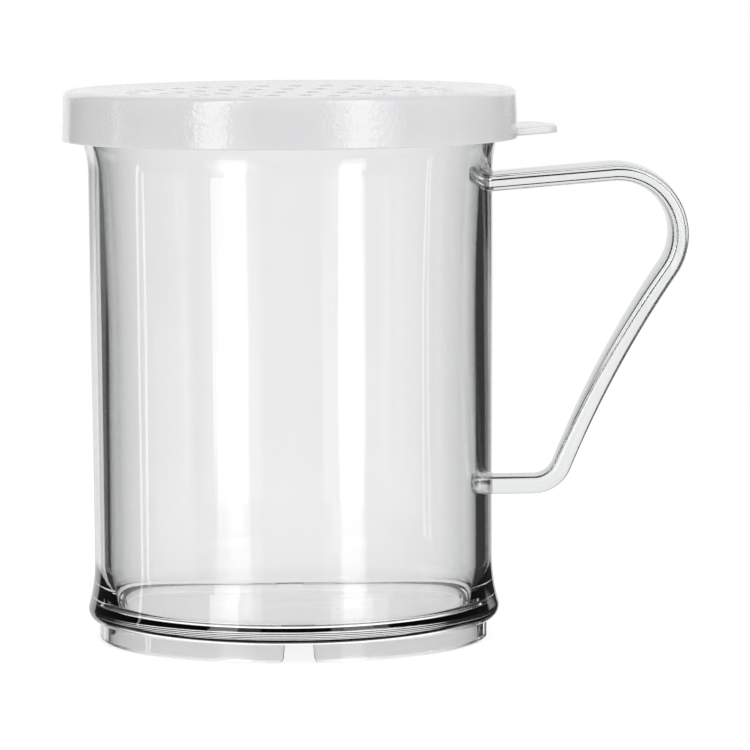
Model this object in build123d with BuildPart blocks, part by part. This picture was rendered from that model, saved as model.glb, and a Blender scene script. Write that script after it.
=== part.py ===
from build123d import *

import os
from math import atan2, degrees, sqrt

# A hand shaker for spices and grated cheese: a clear moulded jar, a strap handle
# bonded to its wall, and a press-on lid with a dished, perforated top and a lift tab.
# Millimetres. Z is the jar's axis, the foot stands on Z = 0 and the handle is on +X.

# Jar
body_radius = 35.75  # where the base's blend meets the drafted wall
body_height = 14.0
wall_lean = 0.37  # radius that the drafted wall gains up to the shoulder
flare_drop = 8.8  # height of the rim's flare, from the shoulder to the lip
lip_band = 4.0  # height of the straight lip
lip_reach = 3.1  # lip beyond the body
rim_height = 96.8
rim_round = 0.8
foot_inset = 0.75  # foot ring within the body
foot_height = 3.3  # also the underside of the jar's floor
foot_wall = 1.95
foot_round = 0.6
notch_width = 4.9  # the three narrow drain notches in the foot ring
notch_turn = 1.3  # degrees that they stand off square to the handle
handle_notch_width = 12.4  # the wide one, under the handle
notch_spread = 0.3  # each side opens this much towards the table
notch_round = 1.0
bead_ledge = 0.3  # flat between the foot ring and the bead round the base
bead_reach = 1.2  # bead's widest point beyond the body
bead_rise = 2.2  # from the floor's underside to the widest point
floor_wall = 2.6
floor_round = 3.0
wall_at_floor = 2.85
wall_at_middle = 2.85
wall_at_shoulder = 2.1
middle_height = 45.0  # above it the bore opens in a long curve
stack_clearance = 1.2  # between the mouth and the foot of a jar stacked in it

# Handle, a chain of straight and curved stretches down from its upper root
strap_thickness = 3.4
strap_width_upper = 16.5
strap_width_lower = 7.6
strap_draft = 2.0  # degrees, each side of the moulding's parting plane
strap_round = 1.1
arm_drop = 7.8  # from the lid's skirt to the upper root's centreline
arm_rise = 4.5  # degrees
arm_length = 21.2
crown_round = 11.2
crown_turn = 129.0  # degrees
grip_round = 191.5
grip_turn = 12.0  # degrees
elbow_round = 5.6

# Lid
seat_wall = 1.7  # lid above the jar's rim, at the outer edge
dish_depth = 2.5
dish_wall = 1.4
skirt_wall = 1.4
skirt_flare = 0.35  # the outside is this much wider at the lower edge
skirt_depth = 7.4  # below the jar's rim
lid_round = 1.3
lid_clearance = 0.45  # skirt to lip
snap_clearance = 0.1  # snap bead to lip
snap_height = 1.1  # bead's crest above the skirt's edge
snap_spread = 0.9
lid_turn = 16.0  # degrees from the handle to the lift tab
hole_diameter = 2.3
hole_pitch = 5.64
hole_rings = 5
tab_width = 18.0
tab_reach = 8.3  # beyond the skirt, at the middle of the tip
tab_corner_reach = 6.6
tab_thickness = 1.4
tab_tilt = 3.2  # degrees
tab_round = 1.5

# Jar: a revolved wall and floor on a notched foot ring
floor_height = foot_height + floor_wall
lip_height = rim_height - lip_band
shoulder_height = lip_height - flare_drop
shoulder_radius = body_radius + wall_lean
lip_radius = body_radius + lip_reach
foot_radius = body_radius - foot_inset
mouth_radius = foot_radius + stack_clearance
bead_start = foot_radius + bead_ledge
bead_radius = body_radius + bead_reach
bead_swell = bead_radius - bead_start
bead_round = (bead_swell**2 + bead_rise**2) / (2 * bead_swell)
bead_centre = Vector(bead_radius - bead_round, foot_height + bead_rise)
under_turn = degrees(atan2(bead_rise, bead_round - bead_swell))
# The blend is the arc that touches both the bead and the wall's lower end.
climb = body_height - bead_centre.Y
inset = body_radius - bead_centre.X
blend_round = (inset**2 + climb**2 - bead_round**2) / (2 * (bead_round - inset))
blend_turn = degrees(atan2(climb, inset + blend_round))

with BuildLine() as outside:
    underside = Line((0, foot_height), (bead_start, foot_height))
    bead = CenterArc(bead_centre, bead_round, -under_turn, under_turn + blend_turn)
    blend = JernArc(bead @ 1, bead % 1, blend_round, -blend_turn)
    wall = Line(blend @ 1, (shoulder_radius, shoulder_height))
    flare = TangentArc(wall @ 1, (lip_radius, lip_height), tangent=wall % 1)
    lip = Line(flare @ 1, (lip_radius, rim_height))


def foot_notch(width):
    """Cutter from the axis outwards along +X, its lower corners eased outwards."""
    half = width / 2
    with BuildPart() as cutter:
        with BuildSketch(Plane.YZ):
            with BuildLine():
                side = Line((half, foot_height), (half + notch_spread, notch_round))
                corner = RadiusArc(side @ 1, (half + notch_spread + notch_round, 0), -notch_round)
                Line(corner @ 1, (0, 0))
                mirror(about=Plane.YZ)
                Line(side @ 0, (-half, foot_height))
            make_face()
        extrude(amount=foot_radius + foot_wall)
    return cutter.part


with BuildPart() as jar:
    with BuildSketch(Plane.XZ):
        with BuildLine():
            add(outside.line)
            rim = Line(lip @ 1, (mouth_radius, rim_height))
            mouth = Line(rim @ 1, (mouth_radius, lip_height))
            bore = Line(
                (body_radius - wall_at_floor, floor_height),
                (body_radius - wall_at_middle, middle_height),
            )
            bore_top = (shoulder_radius - wall_at_shoulder, shoulder_height)
            opening = TangentArc(bore @ 1, bore_top, tangent=bore % 1)
            TangentArc(opening @ 1, mouth @ 1, tangent=opening % 1)
            floor = Line(bore @ 0, (0, floor_height))
            Line(floor @ 1, underside @ 0)
        section = make_face()
        fillet(section.vertices().group_by(Axis.Y)[-1], rim_round)
        fillet(section.vertices().sort_by_distance(bore @ 0)[0], floor_round)
    revolve(axis=Axis.Z)
    with BuildSketch(Plane.XZ) as foot_section:
        with Locations((foot_radius, 0)):
            Rectangle(foot_wall, floor_height - floor_wall / 2, align=(Align.MAX, Align.MIN))
        fillet(foot_section.vertices().group_by(Axis.Y)[0], foot_round)
    revolve(axis=Axis.Z)
    with PolarLocations(0, 3, start_angle=90 + notch_turn, angular_range=180, endpoint=True):
        add(foot_notch(notch_width), mode=Mode.SUBTRACT)
    add(foot_notch(handle_notch_width), mode=Mode.SUBTRACT)
jar.part.label = "jar"

# Handle: a strap drafted both ways from the plane Y = 0, narrowing downwards, its
# two ends cut to the jar's own wall
skirt_foot = rim_height - skirt_depth
root_height = skirt_foot - arm_drop
elbow_turn = 180 - crown_turn + arm_rise + grip_turn  # brings the lower arm level

with BuildPart() as jar_outside:
    with BuildSketch(Plane.XZ):
        with BuildLine():
            add(outside.line)
            Polyline(lip @ 1, (0, rim_height), underside @ 0)
        make_face()
    revolve(axis=Axis.Z)

with BuildLine() as spine:
    root = Vector(shoulder_radius, root_height)
    rise = Vector(1, 0).rotate(Axis.Z, arm_rise)
    arm = Line(root - rise * strap_thickness, root + rise * arm_length)
    crown = JernArc(arm @ 1, arm % 1, crown_round, -crown_turn)
    grip = JernArc(crown @ 1, crown % 1, grip_round, grip_turn)
    elbow = JernArc(grip @ 1, grip % 1, elbow_round, -elbow_turn)
    lower_arm = Line(elbow @ 1, (body_radius - strap_thickness, (elbow @ 1).Y))


def strap_width(height):
    share = (height - (elbow @ 1).Y) / (root_height - (elbow @ 1).Y)
    return strap_width_lower + (strap_width_upper - strap_width_lower) * share


with BuildPart() as handle:
    with BuildSketch(Plane.XZ):
        trace(spine.line, strap_thickness)
    extrude(amount=strap_width_upper, both=True, taper=strap_draft)
    with BuildSketch(Plane.YZ):
        low = (elbow @ 1).Y - strap_thickness
        high = root_height + crown_round
        Polygon(
            (-strap_width(low) / 2, low),
            (strap_width(low) / 2, low),
            (strap_width(high) / 2, high),
            (-strap_width(high) / 2, high),
            align=None,
        )
    extrude(amount=2 * (crown @ 0.5).X, mode=Mode.INTERSECT)
    sides = handle.faces().sort_by(Axis.Y)
    fillet(sides[0].edges() + sides[-1].edges(), strap_round)
    add(jar_outside.part, mode=Mode.SUBTRACT)
handle.part.label = "handle"

# Lid: the rim seats flat on the jar's, the skirt hangs round it and its snap bead
# rides just clear of the lip
skirt_inner = lip_radius + lid_clearance
skirt_outer = skirt_inner + skirt_wall
dish_height = rim_height + seat_wall - dish_depth
snap_crest = skirt_foot + snap_height

with BuildPart() as lid:
    with BuildSketch(Plane.XZ) as lid_section:
        with BuildLine():
            top_corner = (skirt_outer - skirt_flare, rim_height + seat_wall)
            outer = Line((skirt_outer, skirt_foot), top_corner)
            inside = Polyline(
                top_corner,
                (0, dish_height),
                (0, dish_height - dish_wall),
                (mouth_radius, rim_height),
                (skirt_inner, rim_height),
                (skirt_inner, snap_crest + snap_spread),
            )
            snap = ThreePointArc(
                inside @ 1,
                (lip_radius + snap_clearance, snap_crest),
                (skirt_inner, snap_crest - snap_spread),
            )
            Polyline(snap @ 1, (skirt_inner, skirt_foot), outer @ 0)
        make_face()
        fillet(lid_section.vertices().sort_by_distance(top_corner)[0], lid_round)
    revolve(axis=Axis.Z)
    with BuildSketch(Plane.XY.offset(rim_height - dish_depth)):
        Circle(hole_diameter / 2)
        for ring in range(1, hole_rings + 1):
            with PolarLocations(ring * hole_pitch, 6 * ring, start_angle=lid_turn):
                Circle(hole_diameter / 2)
    extrude(amount=dish_depth + seat_wall + dish_wall, mode=Mode.SUBTRACT)

    skirt_middle = skirt_inner + skirt_wall / 2
    tab_root = sqrt(skirt_middle**2 - (tab_width / 2) ** 2)
    facing = Location((0, 0, 0), (0, 0, lid_turn))
    with BuildSketch(Plane(facing * Location((tab_root, 0, skirt_foot), (0, -tab_tilt, 0)))) as tab:
        with BuildLine():
            corner = Vector(skirt_outer + tab_corner_reach - tab_root, tab_width / 2)
            far = Line((0, tab_width / 2), corner)
            tip = ThreePointArc(corner, (skirt_outer + tab_reach - tab_root, 0), (corner.X, -corner.Y))
            near = Line(tip @ 1, (0, -tab_width / 2))
            ThreePointArc(near @ 1, (skirt_middle - tab_root, 0), far @ 0)
        make_face()
        fillet(tab.vertices().group_by(Axis.X)[-1], tab_round)
    extrude(amount=tab_thickness)
lid.part.label = "lid"

os.makedirs("parts", exist_ok=True)
export_step(jar.part, "parts/jar.step")
export_step(handle.part, "parts/handle.step")
export_step(lid.part, "parts/lid.step")
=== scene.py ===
from math import asin, atan2, cos, radians, sin, sqrt, tan

import bpy
from mathutils import Euler, Matrix, Vector


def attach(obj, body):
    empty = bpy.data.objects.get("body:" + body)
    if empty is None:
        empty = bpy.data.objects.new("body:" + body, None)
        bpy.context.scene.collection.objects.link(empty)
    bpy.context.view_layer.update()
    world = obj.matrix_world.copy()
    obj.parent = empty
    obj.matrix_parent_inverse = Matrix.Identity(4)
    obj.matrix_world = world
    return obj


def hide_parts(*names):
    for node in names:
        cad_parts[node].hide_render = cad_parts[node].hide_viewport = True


mm = 0.001
mergeDistance = 0.001 * mm  # vertices nearer than this are one
sameSpot = 0.01  # millimetres within which a vertex counts as being at a given corner

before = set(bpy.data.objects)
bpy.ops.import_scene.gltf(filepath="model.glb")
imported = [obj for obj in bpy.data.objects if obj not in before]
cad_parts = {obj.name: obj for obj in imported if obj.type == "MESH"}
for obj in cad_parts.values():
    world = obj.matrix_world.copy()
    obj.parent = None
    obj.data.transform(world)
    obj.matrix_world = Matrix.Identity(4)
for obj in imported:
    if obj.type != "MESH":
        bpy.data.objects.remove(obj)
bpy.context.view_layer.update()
print("frame loaded", sorted(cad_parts))


def linear(hexColour):
    # sRGB hex to the linear values that the shaders work in
    parts = [int(hexColour[i:i + 2], 16) / 255 for i in (1, 3, 5)]
    return [c / 12.92 if c <= 0.04045 else ((c + 0.055) / 1.055) ** 2.4 for c in parts] + [1.0]


def addNode(tree, kind, values=None, links=None, **settings):
    # values fills sockets with constants, links joins them to other nodes' outputs
    node = tree.nodes.new(kind)
    for name, value in settings.items():
        setattr(node, name, value)
    for socket, value in (values or {}).items():
        node.inputs[socket].default_value = value
    for socket, source in (links or {}).items():
        tree.links.new(source, node.inputs[socket])
    return node


# Camera: a long lens at table height, looking slightly down. Metres and degrees.
cameraValues = {
    "distance": 0.92291,
    "height": 0.13504,
    "pitch": -5.456,
    "yaw": 0.923,
    "roll": -0.401,
    "lens": 247.98,
}


def makeCamera(values):
    data = bpy.data.cameras.new("camera")
    data.lens = values["lens"]
    data.sensor_width = 36
    camera = bpy.data.objects.new("camera", data)
    bpy.context.collection.objects.link(camera)
    turn = Euler((radians(90 + values["pitch"]), 0, radians(-values["yaw"]))).to_matrix().to_4x4()
    place = Matrix.Translation((0, -values["distance"], values["height"]))
    camera.matrix_world = place @ turn @ Matrix.Rotation(radians(values["roll"]), 4, "Z")
    bpy.context.scene.camera = camera


makeCamera(cameraValues)
print("camera made")

# Studio: what the glossy pieces reflect is a dark room with lit cards and softboxes in it
studioValues = {
    "diffuseLevel": 0.6,
    "room": 0.045,
    # each card: centre azimuth and half width, lowest and highest elevation, soft edge,
    # all in degrees, and its level, where 1 is white
    "cards": [
        ("backdrop", 83, 46, 7, 91, 5, 1.0),
        ("backdropMiddle", 86, 35, -1, 9, 4, 0.97),
        ("backdropFoot", 97, 24, -32, 2, 3, 0.95),
        ("tableBehind", 90, 62, -91, -30, 14, 1.25),
        ("tableFront", -90, 118, -91, -38, 14, 0.16),
        ("besideLeft", -166, 15, -8, -1, 2, 0.4),
        ("frontLow", -90, 24, -9, -1, 3, 0.16),
        ("leftSheet", -118, 9, -7, 60, 2, 0.6),
        ("leftSoftbox", -128.2, 7.6, -7, 1, 1.0, 2.6),
        ("leftSoftboxTop", -130.5, 8.5, 0, 60, 1.0, 3.0),
        ("leftSoftboxFoot", -125, 10, -28, -7, 2, 0.8),
        ("rightSheet", -52, 20, -7, 3, 2, 0.5),
        ("rightSheetTop", -52, 17, 0, 60, 2, 1.5),
        ("rightSoftbox", -54.5, 6.8, -7, 1, 1.0, 2.6),
        ("rightSoftboxTop", -53, 8.5, 0, 60, 1.0, 2.8),
        ("rightSoftboxFoot", -55, 7, -22, -7, 2, 0.85),
        ("leftTube", 172.5, 1.0, -14, 14, 0.5, 2.6),
    ],
}


def addCard(tree, azimuth, elevation, lit, card):
    # lays one card over what is lit so far
    name, centre, half, low, high, soft, level = card
    beside = addNode(tree, "ShaderNodeMath", {1: centre}, {0: azimuth}, operation="SUBTRACT")
    beside = addNode(tree, "ShaderNodeMath", {1: -180.0, 2: 180.0}, {0: beside.outputs[0]},
                     operation="WRAP")
    masks = []
    for angle, middle, reach in [(beside.outputs[0], 0.0, half),
                                 (elevation, (low + high) / 2, (high - low) / 2)]:
        away = addNode(tree, "ShaderNodeMath", {1: middle}, {0: angle}, operation="SUBTRACT")
        away = addNode(tree, "ShaderNodeMath", links={0: away.outputs[0]}, operation="ABSOLUTE")
        masks.append(addNode(tree, "ShaderNodeMapRange",
                             {"From Min": reach + soft / 2, "From Max": reach - soft / 2},
                             {"Value": away.outputs[0]}, interpolation_type="SMOOTHSTEP"))
    mask = addNode(tree, "ShaderNodeMath", links={0: masks[0].outputs[0], 1: masks[1].outputs[0]},
                   operation="MULTIPLY")
    return addNode(tree, "ShaderNodeMix", {"B": level}, {"Factor": mask.outputs[0], "A": lit},
                   label=name).outputs[0]


def makeWorld(values):
    world = bpy.data.worlds.new("studio")
    bpy.context.scene.world = world
    world.use_nodes = True
    world.cycles.sampling_method = "NONE"
    tree = world.node_tree
    tree.nodes.clear()
    direction = addNode(tree, "ShaderNodeTexCoord").outputs["Generated"]
    axes = addNode(tree, "ShaderNodeSeparateXYZ", links={0: direction}).outputs
    turn = addNode(tree, "ShaderNodeMath", links={0: axes["Y"], 1: axes["X"]}, operation="ARCTAN2")
    azimuth = addNode(tree, "ShaderNodeMath", links={0: turn.outputs[0]}, operation="DEGREES")
    climb = addNode(tree, "ShaderNodeMath", links={0: axes["Z"]}, operation="ARCSINE")
    elevation = addNode(tree, "ShaderNodeMath", links={0: climb.outputs[0]}, operation="DEGREES")
    room = addNode(tree, "ShaderNodeValue")
    room.outputs[0].default_value = values["room"]
    lit = room.outputs[0]
    for card in values["cards"]:
        lit = addCard(tree, azimuth.outputs[0], elevation.outputs[0], lit, card)
    path = addNode(tree, "ShaderNodeLightPath").outputs
    # light that comes straight through the clear pieces sees the white backdrop
    straight = addNode(tree, "ShaderNodeMath", {1: 0.5}, {0: path["Glossy Depth"]},
                       operation="LESS_THAN")
    seen = addNode(tree, "ShaderNodeMix", {"B": 1.0}, {"Factor": straight.outputs[0], "A": lit})
    shiny = addNode(tree, "ShaderNodeMath",
                    links={0: path["Is Glossy Ray"], 1: path["Is Transmission Ray"]},
                    operation="MAXIMUM")
    soft = addNode(tree, "ShaderNodeMix", {"A": values["diffuseLevel"]},
                   {"Factor": shiny.outputs[0], "B": seen.outputs[0]})
    level = addNode(tree, "ShaderNodeMix", {"B": 1.0},
                    {"Factor": path["Is Camera Ray"], "A": soft.outputs[0]})
    sky = addNode(tree, "ShaderNodeBackground", {"Strength": 1.0}, {"Color": level.outputs[0]})
    addNode(tree, "ShaderNodeOutputWorld", links={"Surface": sky.outputs[0]})


# Floor: a matt white card under the object. Metres.
floorValues = {
    "size": 6.0, "colour": "#EDEDED",
    "glow": 0.58, "glowThrough": 0.39,  # as seen directly, and through the clear pieces
    "near": 0.16, "far": 0.5,  # between these it fades to plain white
}


def makeFloor(values):
    bpy.ops.object.select_all(action="DESELECT")
    bpy.ops.mesh.primitive_plane_add(size=values["size"], location=(0, 0, 0))
    floor = bpy.context.object
    floor.name = "studioFloor"
    material = bpy.data.materials.new("matt white card")
    material.use_nodes = True
    tree = material.node_tree
    tree.nodes.clear()
    path = addNode(tree, "ShaderNodeLightPath").outputs
    # the card keeps its shadow close by and turns to plain white further off
    place = addNode(tree, "ShaderNodeTexCoord").outputs["Object"]
    away = addNode(tree, "ShaderNodeVectorMath", links={0: place},
                   operation="LENGTH").outputs["Value"]
    far = addNode(tree, "ShaderNodeMapRange",
                  {"From Min": values["near"], "From Max": values["far"]},
                  {"Value": away}, interpolation_type="SMOOTHSTEP").outputs[0]
    card = addNode(tree, "ShaderNodeBsdfDiffuse", {"Color": linear(values["colour"])})
    # the card came out too bright through the clear pieces, so it glows less there
    strength = addNode(tree, "ShaderNodeMix", {"A": values["glowThrough"], "B": values["glow"]},
                       {"Factor": path["Is Camera Ray"]})
    glow = addNode(tree, "ShaderNodeEmission", links={"Strength": strength.outputs[0]})
    near = addNode(tree, "ShaderNodeAddShader", links={0: card.outputs[0], 1: glow.outputs[0]})
    white = addNode(tree, "ShaderNodeEmission", {"Strength": 1.0})
    shown = addNode(tree, "ShaderNodeMixShader",
                    links={0: far, 1: near.outputs[0], 2: white.outputs[0]})
    lit = addNode(tree, "ShaderNodeMixShader",
                  links={0: path["Is Diffuse Ray"], 1: shown.outputs[0], 2: card.outputs[0]})
    # light that has been reflected passes the card and reaches the studio's own table
    reflected = addNode(tree, "ShaderNodeMath", {1: 0.5}, {0: path["Glossy Depth"]},
                        operation="GREATER_THAN")
    clear = addNode(tree, "ShaderNodeBsdfTransparent")
    either = addNode(tree, "ShaderNodeMixShader",
                     links={0: reflected.outputs[0], 1: lit.outputs[0], 2: clear.outputs[0]})
    addNode(tree, "ShaderNodeOutputMaterial", links={"Surface": either.outputs[0]})
    floor.data.materials.append(material)


lampValues = {
    # place and size in metres, power in watts
    "overhead": {"place": (0.0, 0.1, 0.9), "size": 0.9, "power": 1.0},
    "left": {"place": (-0.4, -0.95, 0.45), "size": 0.6, "power": 1.5},
    "right": {"place": (0.6, -0.85, 0.45), "size": 0.6, "power": 1.7},
}


def makeLamps(lamps):
    for name, values in lamps.items():
        data = bpy.data.lights.new(name, "AREA")
        data.shape = "SQUARE"
        data.size = values["size"]
        data.energy = values["power"]
        lamp = bpy.data.objects.new(name, data)
        bpy.context.collection.objects.link(lamp)
        lamp.location = values["place"]
        toward = Vector((0, 0, 0.05)) - lamp.location
        lamp.rotation_euler = toward.to_track_quat("-Z", "Y").to_euler()
        # the world's cards are what shows in the gloss
        lamp.visible_glossy = False
        lamp.visible_transmission = False
        lamp.visible_camera = False


makeWorld(studioValues)
makeFloor(floorValues)
makeLamps(lampValues)
print("studio made")


def newMaterial(name):
    material = bpy.data.materials.new(name)
    material.use_nodes = True
    material.node_tree.nodes.clear()
    return material


# Polycarbonate, injection moulded in a polished mould and drawn off a core: clear, with
# sharp reflections that waver a little and faint draw lines along the jar, and painted shade
# that greys it where its surface turns away
polycarbonateValues = {
    # the colour stops of painted shade, from surfaces facing the view to those turned away
    "paintedEdgeShade": {0.0: "#FEFEFE", 0.4: "#FAFAFB", 0.62: "#F0F1F1", 0.85: "#C4C7C9", 0.98: "#5A5E61"},
    "levelFaces": 0.0, "shadow": "#F2F3F3", "ior": 1.585,
    "waveWidth": 8.0, "waveLength": 45.0, "waveHeight": 0.02,
    "drawWidth": 0.9, "drawLength": 70.0, "drawHeight": 0.0012,
}


def clearPolycarbonate(values):
    v = values
    material = newMaterial("clear polycarbonate")
    tree = material.node_tree
    place = addNode(tree, "ShaderNodeTexCoord").outputs["Object"]
    bump = None
    for wide, long, high in [(v["waveWidth"], v["waveLength"], v["waveHeight"]),
                             (v["drawWidth"], v["drawLength"], v["drawHeight"])]:
        scale = (1 / (wide * mm), 1 / (wide * mm), 1 / (long * mm))
        stretched = addNode(tree, "ShaderNodeMapping", {"Scale": scale}, {"Vector": place})
        noise = addNode(tree, "ShaderNodeTexNoise", {"Scale": 1.0, "Detail": 1.0},
                        {"Vector": stretched.outputs[0]})
        under = {"Normal": bump.outputs["Normal"]} if bump else {}
        bump = addNode(tree, "ShaderNodeBump", {"Strength": 1.0, "Distance": high * mm},
                       {"Height": noise.outputs["Fac"], **under})
    # painted shade: the colour greys where the surface turns away from the view, for the dark
    # edges that the clear plastic shows; level faces, such as the jar's floor, are left out
    facing = addNode(tree, "ShaderNodeLayerWeight", {"Blend": 0.5}).outputs["Facing"]
    normal = addNode(tree, "ShaderNodeNewGeometry").outputs["Normal"]
    level = addNode(tree, "ShaderNodeVectorMath", {1: (0, 0, 1)}, {0: normal},
                    operation="DOT_PRODUCT").outputs["Value"]
    level = addNode(tree, "ShaderNodeMath", {1: 2.0}, {0: level}, operation="POWER").outputs[0]
    edgeShadeMask = addNode(tree, "ShaderNodeMapRange", {"To Min": 1.0, "To Max": v["levelFaces"]},
                     {"Value": level}).outputs[0]
    edgeShadeMask = addNode(tree, "ShaderNodeMath", links={0: facing, 1: edgeShadeMask},
                     operation="MULTIPLY").outputs[0]
    paintedShade = addNode(tree, "ShaderNodeValToRGB", links={0: edgeShadeMask})
    stops = paintedShade.color_ramp.elements
    while len(stops) < len(v["paintedEdgeShade"]):
        stops.new(0.5)
    for stop, (place, colour) in zip(stops, sorted(v["paintedEdgeShade"].items())):
        stop.position = place
        stop.color = linear(colour)
    paintedShade = paintedShade.outputs[0]
    glass = addNode(tree, "ShaderNodeBsdfPrincipled",
                    {"Roughness": 0.0, "IOR": v["ior"], "Transmission Weight": 1.0},
                    {"Base Color": paintedShade, "Normal": bump.outputs["Normal"]})
    # lets light through to the table, as a path tracer can't find it through two walls
    through = addNode(tree, "ShaderNodeBsdfTransparent", {"Color": linear(v["shadow"])})
    path = addNode(tree, "ShaderNodeLightPath")
    mixed = addNode(tree, "ShaderNodeMixShader",
                    links={0: path.outputs["Is Shadow Ray"],
                           1: glass.outputs[0], 2: through.outputs[0]})
    addNode(tree, "ShaderNodeOutputMaterial", links={"Surface": mixed.outputs[0]})
    return material


# Low-density polyethylene, injection moulded in a fine-textured mould: milky and
# translucent, with a waxy satin surface that breaks the highlights up like orange peel
polyethyleneValues = {
    "colour": "#E1E1E3", "clouded": "#E9E9EA", "cloudSize": 9.0, "roughness": (0.09, 0.14),
    "ior": 1.51, "gloss": 0.85, "scatter": 0.6, "depth": 2.0, "peelSize": 0.7, "peelHeight": 0.05,
    "grainSize": 0.35, "grainHeight": 0.004,
}


def milkyPolyethylene(values):
    v = values
    material = newMaterial("translucent low-density polyethylene")
    tree = material.node_tree
    place = addNode(tree, "ShaderNodeTexCoord").outputs["Object"]
    # a noise of scale 1 has features about 1 m across
    cloud = addNode(tree, "ShaderNodeTexNoise", {"Scale": 1 / (v["cloudSize"] * mm), "Detail": 2.0},
                    {"Vector": place}).outputs["Fac"]
    colour = addNode(tree, "ShaderNodeMix", {6: linear(v["colour"]), 7: linear(v["clouded"])},
                     {0: cloud}, data_type="RGBA").outputs[2]
    rough = addNode(tree, "ShaderNodeMapRange",
                    {"To Min": v["roughness"][0], "To Max": v["roughness"][1]}, {"Value": cloud})
    peel = addNode(tree, "ShaderNodeTexNoise", {"Scale": 1 / (v["peelSize"] * mm), "Detail": 1.0},
                   {"Vector": place})
    grain = addNode(tree, "ShaderNodeTexNoise", {"Scale": 1 / (v["grainSize"] * mm), "Detail": 2.0},
                    {"Vector": place})
    soft = addNode(tree, "ShaderNodeBump", {"Strength": 1.0, "Distance": v["peelHeight"] * mm},
                   {"Height": peel.outputs["Fac"]})
    fine = addNode(tree, "ShaderNodeBump", {"Strength": 1.0, "Distance": v["grainHeight"] * mm},
                   {"Height": grain.outputs["Fac"], "Normal": soft.outputs["Normal"]})
    body = addNode(tree, "ShaderNodeBsdfPrincipled",
                   {"IOR": v["ior"], "Specular IOR Level": v["gloss"],
                    "Subsurface Weight": v["scatter"],
                    "Subsurface Scale": v["depth"] * mm, "Subsurface Radius": (1, 1, 1)},
                   {"Base Color": colour, "Roughness": rough.outputs["Result"],
                    "Normal": fine.outputs["Normal"]})
    addNode(tree, "ShaderNodeOutputMaterial", links={"Surface": body.outputs[0]})
    return material


polycarbonate = clearPolycarbonate(polycarbonateValues)
# a greyer copy for the strap, which is seen through its whole width: painted shade greys it
# all over, more at its edges, and on its level faces too
strapPaintedShade = {0.0: "#F3F4F4", 0.3: "#E9EAEB", 0.6: "#CDD0D2", 0.85: "#8E9295", 0.98: "#44484B"}
strapPolycarbonate = clearPolycarbonate({**polycarbonateValues, "paintedEdgeShade": strapPaintedShade,
                                         "levelFaces": 1.0})
strapPolycarbonate.name = "clear polycarbonate strap"
polyethylene = milkyPolyethylene(polyethyleneValues)
print("materials made")


# Profiles are drawn as by hand: one vertex is extruded for a straight run and spun for a curve
def startProfile(name, right, up):
    bpy.ops.object.select_all(action="DESELECT")
    bpy.ops.mesh.primitive_plane_add(size=mm)
    piece = bpy.context.object
    piece.name = piece.data.name = name
    bpy.ops.object.mode_set(mode="EDIT")
    bpy.ops.mesh.select_mode(type="VERT")
    bpy.ops.mesh.select_all(action="SELECT")
    bpy.ops.mesh.merge(type="CENTER")
    bpy.ops.transform.translate(value=(right * mm, 0, up * mm))
    return {"piece": piece, "at": Vector((right, 0, up)), "heading": Vector((1, 0, 0))}


def lineTo(pen, right, up):
    end = Vector((right, 0, up))
    bpy.ops.mesh.extrude_region_move(TRANSFORM_OT_translate={"value": (end - pen["at"]) * mm})
    pen["heading"] = (end - pen["at"]).normalized()
    pen["at"] = end


def tangentArc(start, heading, end):
    # middle and angle of the arc that leaves start along heading and reaches end;
    # a positive angle turns from +Z towards +X
    run = end - start
    side = Vector((heading.z, 0, -heading.x))
    middle = start + side * run.length_squared / (2 * run.dot(side))
    return middle, 2 * atan2(run.dot(side), run.dot(heading))


def arcAround(pen, middle, angle, steps):
    turn = Matrix.Rotation(angle, 3, "Y")
    # spin counts its angle the other way round
    bpy.ops.mesh.spin(steps=steps, angle=-angle, center=middle * mm, axis=(0, 1, 0))
    pen["at"] = middle + turn @ (pen["at"] - middle)
    pen["heading"] = turn @ pen["heading"]


def arcTo(pen, right, up, steps):
    middle, angle = tangentArc(pen["at"], pen["heading"], Vector((right, 0, up)))
    arcAround(pen, middle, angle, steps)


def selectVertices(piece, test):
    # leaves the piece in edit mode with only the vertices that pass the test selected
    bpy.ops.object.mode_set(mode="EDIT")
    bpy.ops.mesh.select_mode(type="VERT")
    bpy.ops.mesh.select_all(action="DESELECT")
    bpy.ops.object.mode_set(mode="OBJECT")
    for vertex in piece.data.vertices:
        vertex.select = test(vertex.co / mm)
    bpy.ops.object.mode_set(mode="EDIT")


def roundCorners(piece, corners, radius, steps):
    near = [Vector((right, 0, up)) for right, up in corners]
    selectVertices(piece, lambda co: any((co - spot).length < sameSpot for spot in near))
    bpy.ops.mesh.bevel(offset=radius * mm, segments=steps, affect="VERTICES")


def spinRound(piece, segments):
    # the whole profile goes round the axis, and its seam and its ends on the axis are merged
    bpy.ops.mesh.select_all(action="SELECT")
    bpy.ops.mesh.spin(steps=segments, angle=radians(360), center=(0, 0, 0), axis=(0, 0, 1))
    bpy.ops.mesh.select_all(action="SELECT")
    bpy.ops.mesh.remove_doubles(threshold=mergeDistance)
    bpy.ops.mesh.normals_make_consistent(inside=False)
    bpy.ops.object.mode_set(mode="OBJECT")


def applyModifier(piece, kind, **settings):
    bpy.context.view_layer.objects.active = piece
    modifier = piece.modifiers.new(kind.lower(), kind)
    for name, value in settings.items():
        setattr(modifier, name, value)
    bpy.ops.object.modifier_apply(modifier=modifier.name)


def cutWith(piece, cutter, operation="DIFFERENCE", solver="EXACT"):
    bpy.context.view_layer.update()
    applyModifier(piece, "BOOLEAN", object=cutter, operation=operation, solver=solver)
    bpy.data.objects.remove(cutter)


def settle(piece):
    # puts the object's place and turn into its mesh
    bpy.ops.object.mode_set(mode="OBJECT")
    bpy.ops.object.select_all(action="DESELECT")
    piece.select_set(True)
    bpy.context.view_layer.objects.active = piece
    bpy.ops.object.transform_apply(location=True, rotation=True, scale=True)


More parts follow.
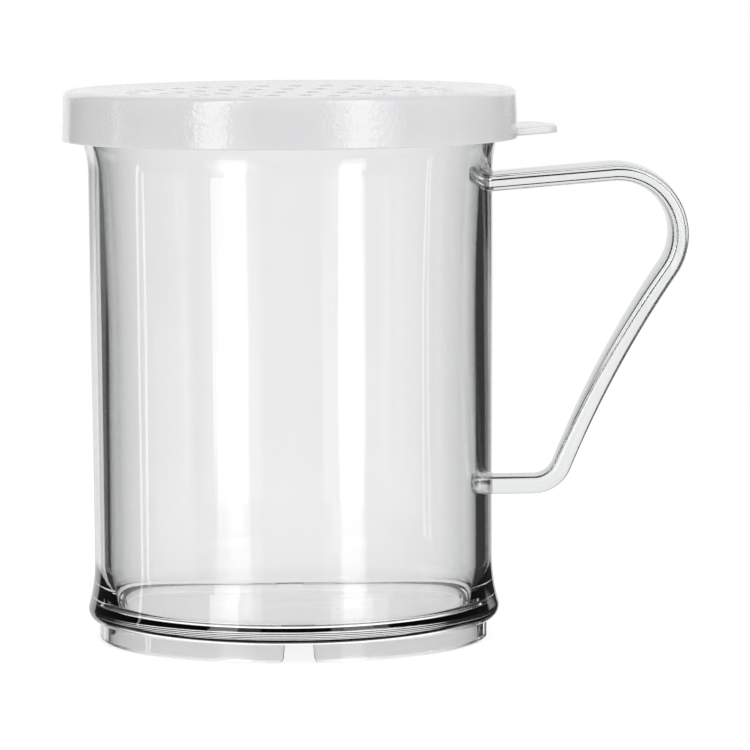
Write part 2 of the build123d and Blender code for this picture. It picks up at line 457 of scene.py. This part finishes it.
def finishPiece(piece, material, body, node, angle=32):
    settle(piece)
    bpy.ops.object.shade_smooth_by_angle(angle=radians(angle))
    applyModifier(piece, "WEIGHTED_NORMAL", keep_sharp=True)
    piece.data.materials.clear()
    piece.data.materials.append(material)
    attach(piece, body)
    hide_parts(node)


# Jar: one profile spun round the axis, then notched at the foot. Millimetres and degrees.
jarValues = {
    "bodyRadius": 35.75, "bodyHeight": 14.0, "shoulderRadius": 36.12, "shoulderHeight": 84.0,
    "lipRadius": 38.85, "lipHeight": 92.8, "rimHeight": 96.8, "rimRound": 0.8,
    "mouthRadius": 36.2, "boreRadius": 32.9, "middleHeight": 45.0, "boreTopRadius": 34.02,
    "floorHeight": 5.2, "floorRound": 2.0, "underside": 3.3,
    "footOuter": 35.0, "footInner": 33.05, "footRound": 0.6, "beadStart": 35.3,
    "beadRadius": 36.95, "beadRise": 2.2, "segments": 256,
    "notches": [(0.0, 12.4), (91.3, 4.9), (181.3, 4.9), (271.3, 4.9)],
    "notchSpread": 0.3, "notchRound": 1.0, "notchEase": 0.35,
}


def footNotch(values, azimuth, width):
    half, curve = width / 2, values["notchRound"]
    wide = half + values["notchSpread"]
    top = values["underside"]
    pen = startProfile("notch", half, top)
    past = wide + 2 * curve
    for right, up in [(wide, 0), (past, 0), (past, -curve), (-past, -curve), (-past, 0),
                      (-wide, 0), (-half, top)]:
        lineTo(pen, right, up)
    cutter = pen["piece"]
    roundCorners(cutter, [(wide, 0), (-wide, 0)], curve, 6)
    bpy.ops.mesh.select_all(action="SELECT")
    bpy.ops.mesh.edge_face_add()
    # outwards through the foot ring, flaring at both its faces so that the notch's
    # upright edges come out eased
    ease = values["notchEase"]
    inner = sqrt(values["footInner"] ** 2 - half ** 2)
    outer = sqrt(values["footOuter"] ** 2 - half ** 2)
    bend = 0.3 * ease  # where the eased edge turns
    reached, at = wide, 0.0
    stops = [(inner - ease, ease), (inner, ease), (inner + bend, bend), (inner + ease, 0.0),
             (outer - ease, 0.0), (outer - bend, bend), (outer, ease), (outer + 2, ease)]
    for stop, growth in stops:
        move = (0, (stop - at) * mm, 0)
        bpy.ops.mesh.extrude_region_move(TRANSFORM_OT_translate={"value": move})
        bpy.ops.transform.resize(value=((wide + growth) / reached, 1, 1))
        reached, at = wide + growth, stop
    bpy.ops.mesh.select_all(action="SELECT")
    bpy.ops.mesh.normals_make_consistent(inside=False)
    bpy.ops.object.mode_set(mode="OBJECT")
    cutter.rotation_euler.z = radians(azimuth - 90)
    return cutter


def makeJar(values):
    v = values
    # underside, foot ring and ledge
    pen = startProfile("clearJar", 0, v["underside"])
    for right, up in [(v["footInner"], v["underside"]), (v["footInner"], 0), (v["footOuter"], 0),
                      (v["footOuter"], v["underside"]), (v["beadStart"], v["underside"])]:
        lineTo(pen, right, up)
    # the bead swells out from the ledge, and a hollow blend joins it to the wall
    swell = v["beadRadius"] - v["beadStart"]
    beadRound = (swell ** 2 + v["beadRise"] ** 2) / (2 * swell)
    beadMiddle = Vector((v["beadRadius"] - beadRound, 0, v["underside"] + v["beadRise"]))
    inset, climb = v["bodyRadius"] - beadMiddle.x, v["bodyHeight"] - beadMiddle.z
    blendRound = (inset ** 2 + climb ** 2 - beadRound ** 2) / (2 * (beadRound - inset))
    underTurn = atan2(v["beadRise"], beadRound - swell)
    blendTurn = atan2(climb, inset + blendRound)
    pen["heading"] = Vector((sin(underTurn), 0, cos(underTurn)))
    arcAround(pen, beadMiddle, -underTurn - blendTurn, 28)
    arcTo(pen, v["bodyRadius"], v["bodyHeight"], 20)
    # wall, flare, lip and rim
    lineTo(pen, v["shoulderRadius"], v["shoulderHeight"])
    arcTo(pen, v["lipRadius"], v["lipHeight"], 14)
    lineTo(pen, v["lipRadius"], v["rimHeight"])
    lineTo(pen, v["mouthRadius"], v["rimHeight"])
    lineTo(pen, v["mouthRadius"], v["lipHeight"])
    # the bore's two curves are worked out from below and drawn from above
    middleEnd = Vector((v["boreRadius"], 0, v["middleHeight"]))
    topEnd = Vector((v["boreTopRadius"], 0, v["shoulderHeight"]))
    up = Vector((0, 0, 1))
    longMiddle, longTurn = tangentArc(middleEnd, up, topEnd)
    leaving = Matrix.Rotation(longTurn, 3, "Y") @ up
    mouth = Vector((v["mouthRadius"], 0, v["lipHeight"]))
    shortMiddle, shortTurn = tangentArc(topEnd, leaving, mouth)
    arcAround(pen, shortMiddle, -shortTurn, 14)
    arcAround(pen, longMiddle, -longTurn, 16)
    lineTo(pen, v["boreRadius"], v["floorHeight"])
    lineTo(pen, 0, v["floorHeight"])
    jar = pen["piece"]
    roundCorners(jar, [(v["footInner"], 0), (v["footOuter"], 0)], v["footRound"], 6)
    roundCorners(jar, [(v["mouthRadius"], v["rimHeight"]), (v["lipRadius"], v["rimHeight"])],
                 v["rimRound"], 8)
    roundCorners(jar, [(v["boreRadius"], v["floorHeight"])], v["floorRound"], 14)
    spinRound(jar, v["segments"])
    for azimuth, width in v["notches"]:
        cutWith(jar, footNotch(v, azimuth, width))
    return jar


# Handle: a strap swept along its bent line, drafted both ways and narrowing downwards
handleValues = {
    "thickness": 3.4, "widthUpper": 16.5, "widthLower": 7.6, "draft": 2.0,
    "round": 1.2,  # whole from 1.1 to 1.28, but at 1.35 the last cut loses the strap
    "rootRadius": 36.12, "rootHeight": 81.6, "rise": 4.5, "armLength": 21.2,
    "crownRound": 11.2, "crownTurn": 129.0, "gripRound": 191.5, "gripTurn": 12.0,
    "elbowRound": 5.6, "lowerEnd": 32.0, "gap": 0.03, "spare": 0.5, "wallCutterHeight": 120,
}


def makeHandle(values, jar):
    v = values
    thick, wide = v["thickness"] / 2, v["widthUpper"] / 2 + v["spare"]
    thin = thick - wide * tan(radians(v["draft"]))
    pen = startProfile("strapHandle", 0, thick)
    for right, up in [(wide, thin), (wide, -thin), (0, -thick), (-wide, -thin), (-wide, thin)]:
        lineTo(pen, right, up)
    strap = pen["piece"]
    bpy.ops.mesh.select_all(action="SELECT")
    bpy.ops.mesh.edge_face_add()
    bpy.ops.object.mode_set(mode="OBJECT")
    heading = Matrix.Rotation(radians(-v["rise"]), 3, "Y") @ Vector((1, 0, 0))
    start = Vector((v["rootRadius"], 0, v["rootHeight"])) - heading * v["thickness"]
    tilt = Matrix.Rotation(radians(-v["rise"]), 4, "Y") @ Matrix.Rotation(radians(90), 4, "Z")
    strap.matrix_world = Matrix.Translation(start * mm) @ tilt
    settle(strap)
    bpy.ops.object.mode_set(mode="EDIT")
    bpy.ops.mesh.select_mode(type="EDGE")
    bpy.ops.mesh.select_all(action="SELECT")
    bpy.ops.mesh.delete(type="ONLY_FACE")
    bpy.ops.mesh.select_all(action="SELECT")
    pen = {"piece": strap, "at": start, "heading": heading}

    def onward(length):
        move = pen["heading"] * length * mm
        bpy.ops.mesh.extrude_region_move(TRANSFORM_OT_translate={"value": move})
        pen["at"] = pen["at"] + pen["heading"] * length

    def bend(radius, turn, steps):
        side = Vector((pen["heading"].z, 0, -pen["heading"].x)) * (1 if turn > 0 else -1)
        arcAround(pen, pen["at"] + side * radius, radians(turn), steps)

    onward(v["thickness"] + v["armLength"])
    bend(v["crownRound"], v["crownTurn"], 60)
    bend(v["gripRound"], -v["gripTurn"], 24)
    elbowTurn = 180 - v["crownTurn"] + v["rise"] + v["gripTurn"]
    bend(v["elbowRound"], elbowTurn, 36)
    elbowHeight = pen["at"].z
    onward(pen["at"].x - v["lowerEnd"])
    # both open ends are closed
    bpy.ops.mesh.select_all(action="DESELECT")
    bpy.ops.mesh.select_non_manifold()
    bpy.ops.mesh.fill()
    bpy.ops.mesh.select_all(action="SELECT")
    bpy.ops.mesh.normals_make_consistent(inside=False)
    bpy.ops.object.mode_set(mode="OBJECT")

    # each outer corner slides in along its own broad face, so that the strap narrows from
    # the root to the elbow and its sides stay a row of small faces
    slope = (v["widthUpper"] - v["widthLower"]) / (v["rootHeight"] - elbowHeight) / 2
    for edge in strap.data.edges:
        ends = [strap.data.vertices[i] for i in edge.vertices]
        ridge, corner = sorted(ends, key=lambda vertex: abs(vertex.co.y))
        if abs(ridge.co.y) < sameSpot * mm < abs(corner.co.y):
            half = v["widthLower"] / 2 * mm + slope * (ridge.co.z - elbowHeight * mm)
            climb = corner.co.z - ridge.co.z
            share = half / (abs(corner.co.y) - slope * climb)
            corner.co = ridge.co + (corner.co - ridge.co) * share
    applyModifier(strap, "BEVEL", width=v["round"] * mm, segments=8, limit_method="ANGLE",
                  angle_limit=radians(50), offset_type="OFFSET", use_clamp_overlap=False)
    # the ends lie against the wall with a hair of air between
    lean = (jar["shoulderRadius"] - jar["bodyRadius"]) / (jar["shoulderHeight"] - jar["bodyHeight"])
    foot = jar["bodyRadius"] - lean * jar["bodyHeight"] + v["gap"]
    bpy.ops.object.select_all(action="DESELECT")
    tall = v["wallCutterHeight"]
    bpy.ops.mesh.primitive_cone_add(vertices=jar["segments"], radius1=foot * mm,
                                    radius2=(foot + lean * tall) * mm, depth=tall * mm,
                                    location=(0, 0, tall / 2 * mm))
    cutWith(strap, bpy.context.object, solver="FAST")
    return strap


# Lid: a profile spun round the axis, with the lift tab joined on and the holes cut through
lidValues = {
    "topRadius": 40.35, "topHeight": 98.5, "topRound": 1.3, "dishHeight": 96.0,
    "skirtOuter": 40.7, "skirtInner": 39.3, "skirtFoot": 89.4, "footRound": 0.3,
    "snapRadius": 38.95, "snapHeight": 90.5, "snapSpread": 0.9,
    "seatHeight": 96.8, "seatInner": 36.2, "underHeight": 94.6, "segments": 256,
    "turn": 16.0, "holeRadius": 1.15, "holeEase": 0.22, "holePitch": 5.64, "holeRings": 5,
    "holeSides": 20,
    "tabWidth": 18.0, "tabReach": 8.3, "tabCornerReach": 6.6, "tabThickness": 1.4,
    "tabTilt": 3.2, "tabRound": 1.5, "tabEase": 0.3,
}


def makeTab(values):
    v = values
    half = v["tabWidth"] / 2
    middle = (v["skirtInner"] + v["skirtOuter"]) / 2
    root = sqrt(middle ** 2 - half ** 2)
    corner = v["skirtOuter"] + v["tabCornerReach"] - root
    bulge = v["tabReach"] - v["tabCornerReach"]
    tipRound = (half ** 2 + bulge ** 2) / (2 * bulge)
    pen = startProfile("tab", 0, -half)
    lineTo(pen, corner, -half)
    arcAround(pen, Vector((corner + bulge - tipRound, 0, 0)), -2 * asin(half / tipRound), 20)
    lineTo(pen, 0, half)
    arcAround(pen, Vector((-root, 0, 0)), 2 * asin(half / middle), 12)
    tab = pen["piece"]
    bpy.ops.mesh.select_all(action="SELECT")
    bpy.ops.mesh.remove_doubles(threshold=mergeDistance)
    roundCorners(tab, [(corner, -half), (corner, half)], v["tabRound"], 8)
    bpy.ops.mesh.select_all(action="SELECT")
    bpy.ops.mesh.edge_face_add()
    move = (0, v["tabThickness"] * mm, 0)
    bpy.ops.mesh.extrude_region_move(TRANSFORM_OT_translate={"value": move})
    bpy.ops.mesh.select_all(action="SELECT")
    bpy.ops.mesh.normals_make_consistent(inside=False)
    bpy.ops.object.mode_set(mode="OBJECT")
    applyModifier(tab, "BEVEL", width=v["tabEase"] * mm, segments=4, limit_method="ANGLE",
                  angle_limit=radians(50))
    # laid flat, moved to the skirt's foot, tilted up and turned beside the handle
    flat = Matrix.Translation((root * mm, 0, v["skirtFoot"] * mm)) @ \
        Matrix.Rotation(radians(-v["tabTilt"]), 4, "Y") @ Matrix.Rotation(radians(90), 4, "X")
    tab.matrix_world = Matrix.Rotation(radians(v["turn"]), 4, "Z") @ flat
    settle(tab)
    return tab


def makeHoles(values):
    # one punch with eased ends is modelled and copied to each place on the rings
    v = values
    slopeTop = (v["topHeight"] - v["dishHeight"]) / v["topRadius"]
    slopeUnder = (v["seatHeight"] - v["underHeight"]) / v["seatInner"]
    wall = v["dishHeight"] - v["underHeight"]
    radius, ease = v["holeRadius"], v["holeEase"]
    bpy.ops.object.select_all(action="DESELECT")
    bpy.ops.mesh.primitive_circle_add(vertices=v["holeSides"], radius=(radius + ease) * mm,
                                      fill_type="NGON", location=(0, 0, -ease * mm))
    punch = bpy.context.object
    bpy.ops.object.mode_set(mode="EDIT")
    bpy.ops.mesh.select_all(action="SELECT")
    near, rest, half = ease * 0.3, ease * 0.7, ease / 2  # the eased edge, in two steps
    steps = [(ease, 0.0), (near, -half), (rest, -half), (wall - 2 * ease, 0.0), (rest, half),
             (near, half), (ease, 0.0)]
    width = radius + ease
    for rise, growth in steps:
        bpy.ops.mesh.extrude_region_move(TRANSFORM_OT_translate={"value": (0, 0, rise * mm)})
        share = (width + growth) / width
        bpy.ops.transform.resize(value=(share, share, 1))
        width += growth
    bpy.ops.mesh.select_all(action="SELECT")
    bpy.ops.mesh.normals_make_consistent(inside=False)
    bpy.ops.object.mode_set(mode="OBJECT")
    settle(punch)
    punches = []
    for ring in range(v["holeRings"] + 1):
        away = ring * v["holePitch"]
        for i in range(max(1, 6 * ring)):
            copy = punch.copy()
            copy.data = punch.data.copy()
            bpy.context.collection.objects.link(copy)
            around = radians(v["turn"] + 60 / max(1, ring) * i)
            under = v["underHeight"] + away * slopeUnder
            deep = v["dishHeight"] + away * slopeTop - under
            copy.location = (away * cos(around) * mm, away * sin(around) * mm, under * mm)
            copy.scale.z = deep / wall
            punches.append(copy)
    bpy.data.objects.remove(punch)
    bpy.ops.object.select_all(action="DESELECT")
    for copy in punches:
        copy.select_set(True)
    bpy.context.view_layer.objects.active = punches[0]
    bpy.ops.object.join()
    settle(punches[0])
    return punches[0]


def makeLid(values):
    v = values
    pen = startProfile("piercedLid", 0, v["dishHeight"])
    for right, up in [(v["topRadius"], v["topHeight"]), (v["skirtOuter"], v["skirtFoot"]),
                      (v["skirtInner"], v["skirtFoot"]),
                      (v["skirtInner"], v["snapHeight"] - v["snapSpread"])]:
        lineTo(pen, right, up)
    swell = v["skirtInner"] - v["snapRadius"]
    snapRound = (v["snapSpread"] ** 2 + swell ** 2) / (2 * swell)
    arcAround(pen, Vector((v["snapRadius"] + snapRound, 0, v["snapHeight"])),
              2 * asin(v["snapSpread"] / snapRound), 10)
    for right, up in [(v["skirtInner"], v["seatHeight"]), (v["seatInner"], v["seatHeight"]),
                      (0, v["underHeight"])]:
        lineTo(pen, right, up)
    lid = pen["piece"]
    roundCorners(lid, [(v["topRadius"], v["topHeight"])], v["topRound"], 10)
    roundCorners(lid, [(v["skirtOuter"], v["skirtFoot"])], v["footRound"], 4)
    spinRound(lid, v["segments"])
    cutWith(lid, makeTab(v), "UNION")
    cutWith(lid, makeHoles(v))
    return lid


jar = makeJar(jarValues)
finishPiece(jar, polycarbonate, "jar", "jar")
print("jar made", len(jar.data.polygons))
handle = makeHandle(handleValues, jarValues)
finishPiece(handle, strapPolycarbonate, "jar", "handle")
reach = max(vertex.co.x for vertex in handle.data.vertices) / mm
print("handle made", len(handle.data.polygons), "faces, reaching", round(reach, 2), "mm")
lid = makeLid(lidValues)
finishPiece(lid, polyethylene, "lid", "lid")
print("lid made", len(lid.data.polygons))

bpy.context.scene.view_settings.view_transform = "Standard"
